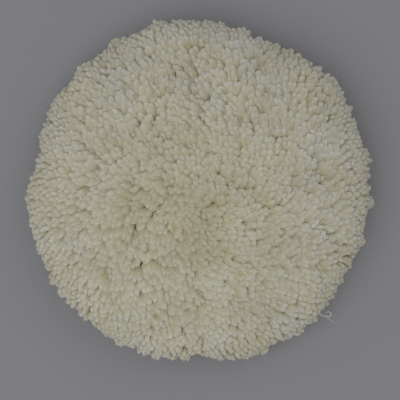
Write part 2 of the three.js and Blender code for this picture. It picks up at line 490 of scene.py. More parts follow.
def yarn_swell(below, size, rim):
    """How thick a yarn is at each level, and how far its rounded head has opened, from 0 at the tip to 1."""
    rise = np.clip(below / (HEAD_LENGTH * (1 - SIDE_BLUNTING * rim))[:, None], 0, 1)
    head = (1 - (1 - rise) ** 2) ** HEAD_POWER
    bed = share(below, BED_START, BED_RISE)
    bed = bed * (1 - share(below, BED_END, BED_FALL)) * BED_SWELL
    bed = bed * (1 - RIM_BED_LOSS * rim[:, None])
    swell = 1 + HEAD_SWELL * np.exp(-(((below - SWELL_PLACE) / SWELL_LENGTH) ** 2))
    return size * swell + bed, head


def beside(centres, radius, angle, side, across):
    """Points at a radius and an angle round centres."""
    return (centres + (radius * np.cos(angle))[..., None] * side
            + (radius * np.sin(angle))[..., None] * across)


def for_each_point(levels):
    """The values of a ply's levels, repeated for each of its points."""
    return np.concatenate([np.repeat(levels[:, :-1], PLY_SIDES, axis=1), levels[:, -1:]], axis=1)


def ply_centres(lines, side, across, heading, below, psi, swell, head):
    """Each ply's own centre line, wound round its yarn's and closing in at the tip."""
    closing = 1 - rng.uniform(0.35, 1.0, (COUNT, PLIES))[:, :, None] * (1 - head[:, None])
    offset = PLY_OFFSET * swell[:, None] * closing
    centres = beside(lines[:, None], offset, psi, side[:, None], across[:, None])
    uneven = rng.normal(0, 0.35, (COUNT, PLIES))[:, :, None] * np.exp(-below / 5)[:, None]
    centres += uneven[..., None] * heading[:, None, None]
    centres += rng.normal(0, 0.06, centres.shape)
    return centres


def ply_surface(centres, side, thickness):
    """Rings of points round each ply from root to tip, then its apex."""
    own = unit(np.gradient(centres, axis=2))
    own_across = unit(np.cross(own, side[:, None]))
    own_side = np.cross(own_across, own)
    own_size = rng.uniform(0.90, 1.12, (COUNT, PLIES))[:, :, None]
    radius = PLY_RADIUS * own_size * thickness[:, None]
    spin = rng.uniform(0, TURN, (COUNT, PLIES))[:, :, None, None] + PLY_ANGLES
    r = (radius[..., None] * rng.normal(1, 0.04, radius.shape + (PLY_SIDES,)))[:, :, :-1]
    line, own_side, own_across = (v[:, :, :-1, None] for v in (centres, own_side, own_across))
    rings = beside(line, r, spin, own_side, own_across)
    return np.concatenate([rings.reshape(COUNT, PLIES, -1, 3), centres[:, :, -1:]], axis=2)


def pile_points():
    """The points of each ply, by yarn, ply and point, and the wisps.

    With the points come each one's depth below the tip, and how near it is to the crease between yarns, where
    painted shade darkens it."""
    curve, heading, normal, rim = yarn_curves()
    lines = np.einsum("nkc,km->nmc", curve, cubic_weights(LEVELS, 0))
    tangents = unit(np.gradient(lines, axis=1))
    length = np.cumsum(np.linalg.norm(np.diff(lines, axis=1, prepend=lines[:, :1]), axis=2), axis=1)
    below = length[:, -1:] - length
    across = unit(np.cross(tangents, np.cross(heading, normal)[:, None] + 0.01))
    side = np.cross(across, tangents)
    psi = ply_angles(below)
    size = rng.uniform(0.8, 1.28, COUNT)[:, None] * (1 - SIDE_THINNING * rim[:, None])
    swell, head = yarn_swell(below, size, rim)
    centres = ply_centres(lines, side, across, heading, below, psi, swell, head)
    points = ply_surface(centres, side, swell * head**0.8)
    away = points - for_each_point(lines)[:, None]
    along = np.sum(away * heading[:, None, None], axis=-1, keepdims=True) * heading[:, None, None]
    apart = np.linalg.norm(away - along, axis=-1)
    crease_shade = share(apart, CREASE_SHADE_INNER, CREASE_SHADE_WIDTH)
    wisps = wisp_points(curve, length[:, -1], size[:, 0], heading, normal, rim)
    return points, for_each_point(below), crease_shade, wisps


def wisp_points(curve, length, size, heading, normal, rim):
    """Wisps of loose fibre over each yarn end, closing in towards its tip.

    Each wisp is a thin three-sided spike with one bend, and its flat side faces out."""
    yarn = np.repeat(np.arange(COUNT), WISPS)
    rim = rim[yarn]
    total = len(yarn)
    deep = rng.random(total) < DEEP_SHARE
    start = np.where(deep, rng.uniform(*DEEP_START, total), rng.uniform(*WISP_START, total))
    end = np.where(deep, start - rng.uniform(*DEEP_LENGTH, total), rng.uniform(*WISP_END, total))
    below = np.stack([start, (start + end) / 2, end], axis=1)
    t = np.maximum(0.05, 1 - below / length[yarn][:, None])
    line = np.einsum("nkc,nmk->nmc", curve[yarn], cubic_weights(t, 2))
    cross = unit(np.cross(heading, normal))
    over = np.cross(cross, heading)
    psi = np.radians(rng.normal(0, WISP_FAN, total))[:, None]
    out = over[yarn] * np.cos(psi) + cross[yarn] * np.sin(psi)
    offset = WISP_OFFSET * size[yarn] * rng.uniform(0.85, 1.1, total) * (1 - 0.2 * rim)
    offset = offset + deep * BED_SWELL * (1 - rim) * (PLY_OFFSET + PLY_RADIUS)
    closed = np.where(deep, rng.uniform(*DEEP_CLOSING, total), rng.uniform(*WISP_CLOSING, total))
    closed = closed * (1 - 0.4 * rim)
    offsets = np.stack([offset * 0.9, offset * (0.55 + 0.45 * closed), offset * closed], axis=1)
    stray = WISP_STRAY * (1 - RIM_TIDINESS * rim)[:, None, None]
    line = line + out[:, None] * offsets[..., None] + rng.normal(0, 1, line.shape) * stray
    facing = unit(out * 0.6 + heading[yarn] * 0.3 + normal[yarn] * 0.9)
    return wisp_corners(line, facing), yarn, np.maximum(0, below)


def wisp_corners(line, facing):
    """The corners of each wisp, from its base, its bend and its tip."""
    base, bend, tip = line[:, 0], line[:, 1], line[:, 2]
    way = unit(tip - base)
    width = unit(np.cross(way, facing))
    inward = np.cross(width, way) * WISP_THICKNESS
    half = WISP_HALF_WIDTH * rng.uniform(0.6, 1.4, len(line))[:, None]
    corners = [base + width * half * 0.7, base - width * half * 0.7, base - inward,
               bend + width * half, bend - width * half, bend - inward, tip]
    return np.stack(corners, axis=1)


def flatten_relief(points):
    """Makes the hollows between yarn ends shallower, by moving deep points out towards the outline.

    It returns the moved points, and how far in from the outline each of them was. Points where the outline
    faces sideways or down stay where they are."""
    x, y, z = points[..., 0], points[..., 1], points[..., 2]
    radius = np.hypot(x, y)
    half_height = np.where(z > BELLY_HEIGHT, PAD_HEIGHT - BELLY_HEIGHT, UNDERSIDE_DEPTH)
    a = (radius + pucker_depth(np.arctan2(y, x), radius)) / PAD_RADIUS
    b = (z - BELLY_HEIGHT) / half_height
    level = (a**OUTLINE_SQUARENESS + np.abs(b) ** OUTLINE_SQUARENESS) ** (1 / OUTLINE_SQUARENESS)
    level = np.maximum(level, 0.2)
    out_r = (a / level) ** (OUTLINE_SQUARENESS - 1) / PAD_RADIUS
    out_z = np.sign(b) * (np.abs(b) / level) ** (OUTLINE_SQUARENESS - 1) / half_height
    steepness = np.hypot(out_r, out_z)
    depth = (1 - level) / steepness
    shift = (1 - RELIEF) * RELIEF_DEPTH * (1 - np.exp(-depth / RELIEF_DEPTH))
    shift = shift * np.exp(-((depth / RELIEF_FADE) ** 2))
    shift = shift * share(out_z / steepness, 0.2, 0.4)
    out_r, out_z = out_r / steepness * shift, out_z / steepness * shift
    away = np.maximum(radius, 1e-6)
    return points + np.stack([out_r * x / away, out_r * y / away, out_z], axis=-1), depth


def painted_shade_at(inset):
    """How much painted shade darkens a point's colour, by how far in from the outline it is."""
    return PAINTED_SHADE * np.clip(inset - PAINTED_SHADE_START, 0, PAINTED_SHADE_END)


points, depths, crease_shades, (spikes, spike_yarn, spike_depth) = pile_points()
points, inset = flatten_relief(points)
painted_shade = painted_shade_at(inset)
spikes, spike_inset = flatten_relief(spikes)
spike_painted_shade = painted_shade_at(spike_inset[:, 3 * RING_OF_CORNER])
spikes[..., 2] = np.maximum(spikes[..., 2], WISP_THICKNESS)


# ---- Meshes ----

def ply_faces():
    """Faces of one ply: quads between its rings, then the fan at its tip, then its root."""
    quads, s = [], np.arange(PLY_SIDES)
    after = (s + 1) % PLY_SIDES
    for ring in range(RINGS - 1):
        low, high = ring * PLY_SIDES, (ring + 1) * PLY_SIDES
        quads.append(np.stack([low + s, low + after, high + after, high + s], axis=1))
    last = (RINGS - 1) * PLY_SIDES
    fan = np.stack([last + s, last + after, np.full(PLY_SIDES, RINGS * PLY_SIDES)], axis=1)
    return np.concatenate(quads), fan, s[::-1][None]


def repeated_faces(templates, count, per):
    """The faces of many strands of the same shape, from the faces of one and the number of its points."""
    offsets = np.arange(count)[:, None, None] * per
    faces = []
    for template in templates:
        faces += (template[None] + offsets).reshape(-1, template.shape[1]).tolist()
    return faces


def add_attribute(mesh, name, values):
    """Gives the points of a mesh numbers or vectors for its material to read.

    Where there are fewer numbers than points, each is for as many points as share it evenly."""
    values, count = np.ascontiguousarray(values, np.float32).ravel(), len(mesh.vertices)
    if values.size == 3 * count:
        mesh.attributes.new(name, "FLOAT_VECTOR", "POINT").data.foreach_set("vector", values)
    else:
        values = np.repeat(values, count // values.size)
        mesh.attributes.new(name, "FLOAT", "POINT").data.foreach_set("value", values)


def add_bake_squares(mesh, templates, sides, rings, count):
    """Gives each strand of a mesh a small square of its own in a UV layer, for its colours.

    Its rings lie one above another in the square. The templates are its faces, in the mesh's order."""
    per_row = math.ceil(math.sqrt(count))
    strand = np.arange(count)
    cell = np.stack([strand % per_row, strand // per_row], axis=1)
    squares = []
    for template in templates:
        is_tip = template == rings * sides
        place = np.where(is_tip, np.nan, template % sides)
        spread = np.nanmax(place, axis=1, keepdims=True) - np.nanmin(place, axis=1, keepdims=True)
        place = np.where((spread > 1) & (place == 0), sides, place)
        place = np.where(is_tip, np.nanmean(place, axis=1, keepdims=True), place)
        inside = np.stack([place / sides, template // sides / rings], axis=-1) * 0.8 + 0.1
        squares.append(((cell[:, None, None] + inside[None]) / per_row).reshape(-1))
    layer = mesh.uv_layers.new(name="OFBake")
    layer.data.foreach_set("uv", np.concatenate(squares).astype(np.float32))


def new_piece(name, points, faces, material, attributes, smooth=True):
    """A mesh object from points in millimetres, with the values that its points carry."""
    mesh = bpy.data.meshes.new(name)
    mesh.from_pydata((points.reshape(-1, 3) * MM).tolist(), [], faces)
    mesh.polygons.foreach_set("use_smooth", np.full(len(mesh.polygons), smooth))
    for attribute_name, values in attributes.items():
        add_attribute(mesh, attribute_name, values)
    mesh.materials.append(material)
    mesh.update()
    piece = bpy.data.objects.new(name, mesh)
    bpy.context.scene.collection.objects.link(piece)
    return piece


def yarn_piece(name, members, material):
    """One mesh of all the yarns of a row."""
    plies = len(members) * PLIES
    depth = np.repeat(depths[members][:, None], PLIES, axis=1)
    girth = np.append(np.tile(PLY_ANGLES, RINGS), 0.0)
    steps = np.arange(plies)[:, None] * STRAND_STEP
    faces = repeated_faces(ply_faces(), plies, POINTS_PER_PLY)
    piece = new_piece(name, points[members], faces, material, {
        # The depth that the wool's colour follows carries the painted shade of the hollows too.
        "depth": depth / DEPTH_RANGE + painted_shade[members], "tone": tone[members], "hue": hue[members],
        "crease_shade": crease_shades[members], "yellow": yellow[members],
        "strand": stacked(np.cos(girth) + steps, np.sin(girth), depth.reshape(plies, -1))})
    add_bake_squares(piece.data, ply_faces(), PLY_SIDES, RINGS, plies)
    return piece


def wisp_piece(name, members, material):
    """One mesh of all the wisps of a row."""
    chosen = np.flatnonzero(np.isin(spike_yarn, members))
    count, yarn = len(chosen), spike_yarn[chosen]
    depth = spike_depth[chosen][:, RING_OF_CORNER]
    wisp_tone = np.clip(tone[yarn, 0] + rng.normal(0, 0.16, count), 0, 1)
    steps = np.arange(count)[:, None] * WISP_STRAND_STEP
    templates = [np.array([face]) for face in WISP_FACES]
    faces = repeated_faces(templates, count, WISP_CORNERS)
    piece = new_piece(name, spikes[chosen], faces, material, {
        # The depth that the wool's colour follows carries the painted shade of the hollows too.
        "depth": depth / DEPTH_RANGE + spike_painted_shade[chosen], "tone": wisp_tone, "hue": hue[yarn],
        "crease_shade": WISP_CREASE_SHADE, "yellow": yellow[yarn], "strand": stacked(steps, 0, depth)}, smooth=False)
    add_bake_squares(piece.data, templates, 3, 2, count)
    return piece


def skin_faces(along, around, looped):
    """Faces of one closed skin: the quads of its grid, then the fans at its two ends unless it is looped."""
    index = np.arange(along * around).reshape(along, around)
    after = np.roll(index, -1, axis=1)
    quads = np.stack([index, after, np.roll(after, -1, axis=0), np.roll(index, -1, axis=0)], axis=-1)
    if looped:
        return [quads.reshape(-1, 4)]
    first, last = np.full(around, index.size), np.full(around, index.size + 1)
    return [quads[:-1].reshape(-1, 4), np.stack([first, after[0], index[0]], axis=1),
            np.stack([last, index[-1], after[-1]], axis=1)]


def is_inside_out(points, templates):
    """Whether a skin's faces are turned inwards, by the sign of the volume inside them."""
    volume = 0
    for template in templates:
        corners = points[template] - points[0]
        for second in range(1, template.shape[1] - 1):
            volume += np.sum(corners[:, 0] * np.cross(corners[:, second], corners[:, second + 1]))
    return volume < 0


def closed_piece(name, grids, material, node=None, looped=False, coords=None, smooth=True):
    """One mesh of closed skins, each through a grid of points that joins up round its last side.

    Its first side joins up too where looped, and otherwise ends in a point at each end. The coords are what
    its material's pattern follows."""
    count, along, around = grids.shape[:3]

    def with_ends(values):
        flat = values.reshape(count, -1, 3)
        ends = values[:, :1].mean(2), values[:, -1:].mean(2)
        return flat if looped else np.concatenate([flat, *ends], axis=1)

    points = with_ends(grids)
    templates = skin_faces(along, around, looped)
    if is_inside_out(points[0], templates):
        templates = [template[:, ::-1] for template in templates]
    faces = repeated_faces(templates, count, points.shape[1])
    pattern = points if coords is None else with_ends(coords)
    piece = new_piece(name, points, faces, material, {"pattern": pattern}, smooth)
    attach(piece, "root")
    if node:
        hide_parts(node)
    return piece


# ---- The backing's shape ----

def on_bend(bend_radius, angle):
    """The (radius, height) of a point on a layer that is rolled down round the pad's edge."""
    return FLAT_RADIUS + bend_radius * np.sin(angle), BEND_CENTRE + bend_radius * np.cos(angle)


def turned(profile, segments=256):
    """A closed profile of (radius, height) points turned round the pad's axis, as a grid for closed_piece."""
    profile = np.array(profile, float)
    angle = np.arange(segments) * TURN / segments
    return polar(profile[:, :1], 0, profile[:, 1:], angle)[None]


def rounded_corner(corner, before, following, radius, steps=5):
    """Points round a corner of a profile, which comes from the point before and goes to the following one."""
    corner, before, following = (np.array(p, float) for p in (corner, before, following))
    start = corner + unit(before - corner) * radius
    end = corner + unit(following - corner) * radius
    t = np.linspace(0, 1, steps)[:, None]
    return list((1 - t) ** 2 * start + 2 * t * (1 - t) * corner + t**2 * end)


def spaced(start, end, count):
    """Points on a straight stretch of a profile, without its ends."""
    start, way = np.array(start), np.array(end) - np.array(start)
    return [start + way * i / (count + 1) for i in range(1, count + 1)]


def add_lumps(grid, wavelength, height, seed, where=None):
    """Moves a grid's points up and down a little, over lumps of about a wavelength."""
    x, y = grid[..., 0] + 0.37 * grid[..., 2], grid[..., 1] - 0.29 * grid[..., 2]
    lumps = height * smooth_noise(x, y, wavelength, seed)
    grid = grid.copy()
    grid[..., 2] += lumps if where is None else lumps * where
    return grid


def disc_profile(radius, low, high, corner, grooves=()):
    """A disc's profile, from the middle of its underside round to the middle of its top."""
    points = [np.array([0.5, low])]
    previous = 0.5
    for middle in grooves:
        points += spaced((previous, low), (middle - 2 * GROOVE_HALF_WIDTH, low), 8)
        across = np.linspace(-2, 2, 13)
        points += [np.array([middle + GROOVE_HALF_WIDTH * a, low + GROOVE_DEPTH * math.exp(-(a**2) * 1.4)])
                   for a in across]
        previous = middle + 2 * GROOVE_HALF_WIDTH
    points += spaced((previous, low), (radius - corner, low), 8)
    points += rounded_corner((radius, low), (0, low), (radius, high), corner)
    points += rounded_corner((radius, high), (radius, low), (0, high), corner)
    points += spaced((radius - corner, high), (0.5, high), 20)
    return points + [np.array([0.5, high])]


def dish_grid(inner_bend, outer_bend):
    """A disc whose edge rolls down round the bend, as a grid, with its place on the flat cloth as coords."""
    flat, bend = np.linspace(0.5, FLAT_RADIUS, 24), np.linspace(0, DISH_EDGE_ANGLE, 24)[1:]
    profile = [(r, BEND_CENTRE + inner_bend) for r in flat]
    profile += [on_bend(inner_bend, a) for a in bend]
    profile += [on_bend((inner_bend + outer_bend) / 2, DISH_EDGE_ANGLE + 0.02)]
    profile += [on_bend(outer_bend, a) for a in bend[::-1]]
    profile += [(r, BEND_CENTRE + outer_bend) for r in flat[::-1]]
    edge = FLAT_RADIUS + BEND_RADIUS * DISH_EDGE_ANGLE
    along = np.concatenate([flat, FLAT_RADIUS + BEND_RADIUS * bend, [edge]])
    along = np.concatenate([along, along[-2::-1]])
    grid = turned(profile)
    angle = np.arctan2(grid[..., 1], grid[..., 0])
    return grid, polar(along[None, :, None], 0, 0, angle)


def seam_grid(place, radius, seed):
    """A twisted thread sewn all round the pad, as a grid for closed_piece.

    Its place function turns how deep the thread is sunk and how far it has moved across into a (radius,
    height)."""
    source = np.random.default_rng(seed)
    stitches = round(TURN * radius / STITCH)
    phase = np.arange(stitches * STITCH_STEPS) / STITCH_STEPS
    within = phase % 1
    slack = source.uniform(-0.06, 0.1, stitches)[np.floor(phase).astype(int)]
    from_middle = np.abs(2 * within - 1)
    sunk = from_middle**5 * (1 + slack) + slack * (1 - from_middle)
    across = STITCH_SLANT * np.clip((within - 0.5) * 2.4, -1, 1)
    across = across * np.where(within < STITCH_TURN, within / STITCH_TURN, 1)
    across = across * np.where(within > 1 - STITCH_TURN, (1 - within) / STITCH_TURN, 1)
    r, z = place(sunk, across)
    angle = phase / stitches * TURN
    centre = polar(r, 0, z, angle)
    ahead = unit(np.roll(centre, -1, axis=0) - np.roll(centre, 1, axis=0))
    outward = polar(1, 0, 0, angle)
    up = unit(np.cross(ahead, outward))
    outward = np.cross(up, ahead)
    psi = np.arange(THREAD_SIDES) * TURN / THREAD_SIDES
    twist = TURN * np.rint(phase[-1] * STITCH / THREAD_PITCH) * np.arange(len(phase)) / len(phase)
    lobes = 0.78 + 0.22 * np.abs(np.cos(1.5 * (psi[None] - twist[:, None])))
    out = THREAD_RADIUS * lobes[..., None] * (np.cos(psi)[None, :, None] * outward[:, None]
                                              + np.sin(psi)[None, :, None] * up[:, None])
    return (centre[:, None] + out)[None], polar(1, 0, phase[:, None] * STITCH, psi)[None]


def tape_grid():
    """The binding's section, a flat tape folded over the cloth's edge, swept round the pad."""
    inner, outer, fold = TAPE_INNER_BEND, TAPE_OUTER_BEND, TAPE_FOLD_ANGLE
    legs = np.linspace(TAPE_START_ANGLE, fold, 9)
    half = TAPE_THICKNESS / 2
    turn = np.linspace(0, math.pi, 13)[1:-1]
    middle, reach = (inner + outer) / 2, (outer - inner) / 2
    fold_depth = TAPE_FOLD_DEPTH / middle

    def face(offset):
        """A face of the tape as (bend radius, angle) points, offset from its middle."""
        nose = [(middle - (reach + offset) * np.sign(math.cos(t)) * abs(math.cos(t)) ** 0.35,
                 fold + (fold_depth + offset / middle) * math.sin(t) ** 0.45) for t in turn]
        return [(inner - offset, a) for a in legs] + nose + [(outer + offset, a) for a in legs[::-1]]

    def lengths(points):
        steps = np.linalg.norm(np.diff(np.array(points) * (1, middle), axis=0), axis=1)
        return np.concatenate([[0], np.cumsum(steps)])

    away, near = face(half), face(-half)
    end_outer, end_inner = ((bend, TAPE_START_ANGLE - 0.5 * half / bend) for bend in (outer, inner))
    section = np.array(away + [end_outer] + near[::-1] + [end_inner])
    angle = np.arange(TAPE_SEGMENTS) * TURN / TAPE_SEGMENTS
    ripple = TAPE_RIPPLE * np.sin(angle * 92) + TAPE_RIPPLE * np.sin(angle * 57 + 1)
    from_overlap = (angle - OVERLAP_PLACE + math.pi) % TURN - math.pi
    overlap = 0.3 * np.clip((TAPE_OVERLAP - np.abs(from_overlap) * TAPE_RADIUS) / 0.6, 0, 1)
    grow = np.sign(section[:, :1] - middle) * (ripple + overlap)[None]
    faces_away = (np.arange(len(section)) < len(away))[:, None]
    r, z = on_bend(section[:, :1] + grow * faces_away, section[:, 1:])
    across = np.concatenate([lengths(away), lengths(away)[-1:], lengths(near)[::-1], [0]])[:, None]
    around = angle * (FLAT_RADIUS + middle)
    return polar(r, 0, np.maximum(z, 0.05), angle)[None], stacked(around, across, 0 * r)[None]


def tube_grids(centres, radii, sides):
    """Tubes round lines of points, as grids for closed_piece, with a radius for each point."""
    ahead = unit(np.gradient(centres, axis=-2))
    rarely_followed = np.array([0.31, 0.17, 0.93])
    side = unit(np.cross(ahead, rarely_followed))
    over = np.cross(ahead, side)
    psi = np.arange(sides) * TURN / sides
    ring = np.cos(psi)[:, None] * side[..., None, :] + np.sin(psi)[:, None] * over[..., None, :]
    return centres[..., None, :] + radii[..., None, None] * ring


def curled_line():
    """The line of a loose ply that hangs out of the rim and curls round once, from inside the pile."""
    middle = np.array([CURL_PLACE[0], CURL_PLACE[1], CURL_HEIGHT])
    turn = np.radians(np.linspace(215, 560, 16))[:, None]
    circle = middle + CURL_RADIUS * np.concatenate([np.cos(turn), np.sin(turn), 0.5 - 0.2 * turn], axis=1)
    lead = middle + np.array([[-12, 8, 4], [-8.5, 3.5, 3], [-5.0, 0.2, 1.2], [-2.6, -1.3, 0.2]])
    trail = middle + np.array([[-0.4, -2.6, -1.6], [1.8, -4.0, -2.6], [3.8, -5.0, -3.6], [5.4, -5.5, -4.2]])
    line = np.concatenate([lead, circle, trail])
    for _ in range(2):
        between = np.stack([0.75 * line[:-1] + 0.25 * line[1:], 0.25 * line[:-1] + 0.75 * line[1:]], axis=1)
        line = np.concatenate([line[:1], between.reshape(-1, 3), line[-1:]])
    return line


def curled_yarn():
    """The loose ply, thinner towards its end, as a grid for closed_piece."""
    line = curled_line()
    thinning = 1 - 0.85 * np.clip(np.linspace(0, 1, len(line)) * 2.2 - 1.2, 0, 1)
    return tube_grids(line, CURL_THICKNESS * thinning, 6)[None]


def stray_fibres():
    """Single fibres that stand out of the pile, as grids for closed_piece."""
    source = np.random.default_rng(51)
    length = OUTLINE_LENGTH * source.uniform(0.15, 0.95, STRAYS) ** 0.6
    azimuth = source.uniform(0, TURN, STRAYS)
    radius, height = tip_at(length)
    radius = radius - pucker_depth(azimuth, radius)
    normal, lying, _, _ = lie_frame(length, azimuth)
    root = polar(radius, 0, height, azimuth) - STRAY_ROOT * normal
    heading = unit(normal + 1.2 * lying + 0.8 * source.normal(0, 1, (STRAYS, 3)))
    reach = source.uniform(3, 8, STRAYS)[:, None, None]
    bow = source.normal(0, 0.25, (STRAYS, 1, 3))
    t = np.linspace(0, 1, 7)[:, None]
    line = root[:, None] + reach * (heading[:, None] * t + bow * np.sin(2.6 * t))
    line = line + STRAY_ROOT * normal[:, None] * np.minimum(1, 2 * t)
    line[..., 2] = np.maximum(line[..., 2], 0.3)
    radii = np.broadcast_to(STRAY_THICKNESS * (1 - 0.6 * t[:, 0]), line.shape[:2])
    return tube_grids(line, radii, 3)


def nap_grids():
    """The small loops that stand on the loop fabric, as grids for closed_piece."""
    source = np.random.default_rng(31)
    steps = np.arange(-LOOP_DISC_RADIUS, LOOP_DISC_RADIUS, NAP_SPACING)
    x, y = (g.ravel() for g in np.meshgrid(steps, steps))
    x = x + np.where(np.rint(y / NAP_SPACING) % 2 == 0, NAP_SPACING / 2, 0)
    x, y = x + source.uniform(-0.5, 0.5, x.size), y + source.uniform(-0.5, 0.5, y.size)
    r = np.hypot(x, y)
    kept = (r < LOOP_DISC_RADIUS - 1.0) & np.all([np.abs(r - s) > 1.1 for s in SEAM_RADII], axis=0)
    x, y = x[kept], y[kept]
    count = len(x)
    heading = 0.6 * smooth_noise(x, y, 30, 32) + source.normal(0, 0.7, count)
    width, height = source.uniform(0.65, 1.0, count), source.uniform(0.5, 1.0, count)
    lean = source.normal(0, 0.35, count)
    t = np.linspace(0, math.pi, 5)
    swing = -np.cos(t) * (0.75 + 0.45 * np.sin(t))
    path_x = width[:, None] * swing
    path_y = lean[:, None] * np.sin(t)
    path_z = -height[:, None] * np.sin(t) ** 0.8 + 0.15
    c, s = np.cos(heading)[:, None], np.sin(heading)[:, None]
    centre = stacked(x[:, None] + path_x * c - path_y * s, y[:, None] + path_x * s + path_y * c,
                     LOOP_FACE + path_z)
    grids = tube_grids(centre, np.full(centre.shape[:2], NAP_THICKNESS), 3)
    return grids, np.broadcast_to(stacked(x, y, heading)[:, None, None], grids.shape)


# ---- Materials ----

def new_material(name):
    material = bpy.data.materials.new(name)
    material.use_nodes = True
    return material, material.node_tree, material.node_tree.nodes["Principled BSDF"]


def add_node(tree, kind, inputs, **settings):
    """A shader node's outputs, once its inputs are set or linked and its settings made."""
    node = tree.nodes.new(f"ShaderNode{kind}")
    for name, value in settings.items():
        setattr(node, name, value)
    for name, value in inputs.items():
        if hasattr(value, "is_output"):
            tree.links.new(value, node.inputs[name])
        else:
            node.inputs[name].default_value = value
    return node.outputs


def attribute(tree, name, output="Fac"):
    """What a mesh's points carry under a name, as a number or, with output Vector, as a vector."""
    return add_node(tree, "Attribute", {}, attribute_name=name)[output]


def pattern_vector(tree):
    """Where a point is in its piece's own pattern, in millimetres."""
    return attribute(tree, "pattern", "Vector")


def ramp(tree, factor, stops):
    """A colour that follows a number, through stops of (position, colour)."""
    outputs = add_node(tree, "ValToRGB", {"Fac": factor})
    elements = outputs["Color"].node.color_ramp.elements
    while len(elements) < len(stops):
        elements.new(0.5)
    for element, (position, colour) in zip(elements, stops):
        element.position = position
        element.color = (*colour, 1)
    return outputs["Color"]


def multiply(tree, a, b):
    """The product of two colours."""
    inputs = {"Factor": 1.0, "A": a, "B": b}
    return add_node(tree, "Mix", inputs, data_type="RGBA", blend_type="MULTIPLY")["Result"]


def noise(tree, vector, scale, detail, stretch=(1, 1, 1)):
    stretched = add_node(tree, "Mapping", {"Scale": stretch, "Vector": vector})["Vector"]
    return add_node(tree, "TexNoise", {"Scale": scale, "Detail": detail, "Vector": stretched})["Fac"]


def finish_shader(tree, shader, colour, roughness, specular, height=None, bump_strength=0, bump_depth=0):
    """Gives a shader its colour and gloss, and bumps that follow a height, with a depth in millimetres."""
    tree.links.new(colour, shader.inputs["Base Color"])
    if bump_strength:
        bump = {"Strength": bump_strength, "Distance": bump_depth * MM, "Height": height}
        tree.links.new(add_node(tree, "Bump", bump)["Normal"], shader.inputs["Normal"])
    shader.inputs["Roughness"].default_value = roughness
    shader.inputs["Specular IOR Level"].default_value = specular


def arithmetic(tree, operation, a, b):
    return add_node(tree, "Math", {0: a, 1: b}, operation=operation)["Value"]


def bands(tree, direction, pitch):
    """Rounded ridges that repeat at a pitch. The wave texture turns by 20 radians in each unit."""
    inputs = {"Scale": TURN / (20 * pitch), "Vector": pattern_vector(tree)}
    return add_node(tree, "TexWave", inputs, bands_direction=direction)["Fac"]


def plain_weave(tree):
    """The height of a plain weave, whose two sets of threads pass over each other by turns."""
    over = add_node(tree, "TexChecker", {"Scale": 1 / WEAVE_PITCH, "Vector": pattern_vector(tree)})["Fac"]
    under = arithmetic(tree, "SUBTRACT", 1.0, over)
    warp = arithmetic(tree, "MULTIPLY", bands(tree, "X", WEAVE_PITCH), over)
    weft = arithmetic(tree, "MULTIPLY", bands(tree, "Y", WEAVE_PITCH), under)
    return arithmetic(tree, "ADD", warp, weft)


def twill_weave(tree):
    """The height of a twill weave, whose ridges run slantwise across the tape."""
    return bands(tree, "DIAGONAL", TWILL_PITCH / 2)


def pores(tree):
    """Open cells, deepest in their middles, where the foam's colour is darkest as painted shade."""
    inputs = {"Scale": 1 / PORE_PITCH, "Vector": pattern_vector(tree)}
    return add_node(tree, "TexVoronoi", inputs)["Distance"]


def uneven(scale, detail, stretch=(1, 1, 1)):
    """A pattern of uneven lumps, with its scale per millimetre."""
    return lambda tree: noise(tree, pattern_vector(tree), scale, detail, stretch)


# The materials under the pile: each one's pattern, colours, roughness, bump depth and gloss.
LAYER_MATERIALS = {
    "sewing_thread": (uneven(2.4, 3.0, (1, 1, 0.5)),
                      [(0.3, (0.66, 0.63, 0.53)), (0.7, (0.80, 0.77, 0.67))], 0.55, 0.05, 0.35),
    "loop_fabric": (uneven(1.1, 5.0),
                    [(0.3, (0.40, 0.39, 0.36)), (0.7, (0.56, 0.55, 0.52))], 0.95, 0.3, 0.1),
    "loop_nap": (uneven(1.1, 5.0), [(0.3, (0.50, 0.49, 0.46)), (0.7, (0.64, 0.63, 0.60))], 0.9, 0.05, 0.15),
    # The foam is nearly black in the middles of its open cells: painted shade in the pores.
    "open_cell_foam": (pores, [(0.05, (0.015, 0.015, 0.018)), (0.5, (0.085, 0.085, 0.095)),
                               (0.9, (0.12, 0.12, 0.13))], 0.9, 0.5, 0.15),
    "pressed_fibre": (uneven(0.9, 6.0, (1, 0.3, 1)), [(0.25, (0.16, 0.11, 0.06)), (0.5, (0.27, 0.20, 0.12)),
                                                      (0.8, (0.40, 0.31, 0.20))], 0.85, 0.15, 0.2),
    "latex": (uneven(0.45, 3.0), [(0.25, (0.56, 0.49, 0.31)), (0.5, (0.68, 0.61, 0.41)),
                                  (0.8, (0.76, 0.70, 0.51))], 0.42, 0.5, 0.45),
    # The woven cotton and the twill tape are darker where their weave is low: painted shade between and along
    # their threads.
    "woven_cotton": (plain_weave, [(0.1, (0.46, 0.42, 0.32)), (0.5, (0.63, 0.59, 0.47)),
                                   (0.9, (0.74, 0.70, 0.58))], 0.95, 0.2, 0.1),
    "twill_tape": (twill_weave, [(0.1, (0.17, 0.165, 0.145)), (0.5, (0.27, 0.26, 0.235)),
                                 (0.9, (0.36, 0.35, 0.32))], 0.9, 0.18, 0.15),
}


def layer_material(name):
    """A material whose colour and bumps both follow one pattern, with broad uneven toning over it. Its colour
    is darker where the pattern is low, which in the weaves and the foam's cells is painted shade.
    """
    pattern, stops, roughness, bump_depth, specular = LAYER_MATERIALS[name]
    material, tree, shader = new_material(name)
    height = pattern(tree)
    broad = ramp(tree, uneven(0.05, 3.0)(tree), [(0.3, (0.88, 0.87, 0.85)), (0.7, (1.06, 1.06, 1.05))])
    colour = multiply(tree, ramp(tree, height, stops), broad)
    finish_shader(tree, shader, colour, roughness, specular, height, 0.8, bump_depth)
    return material


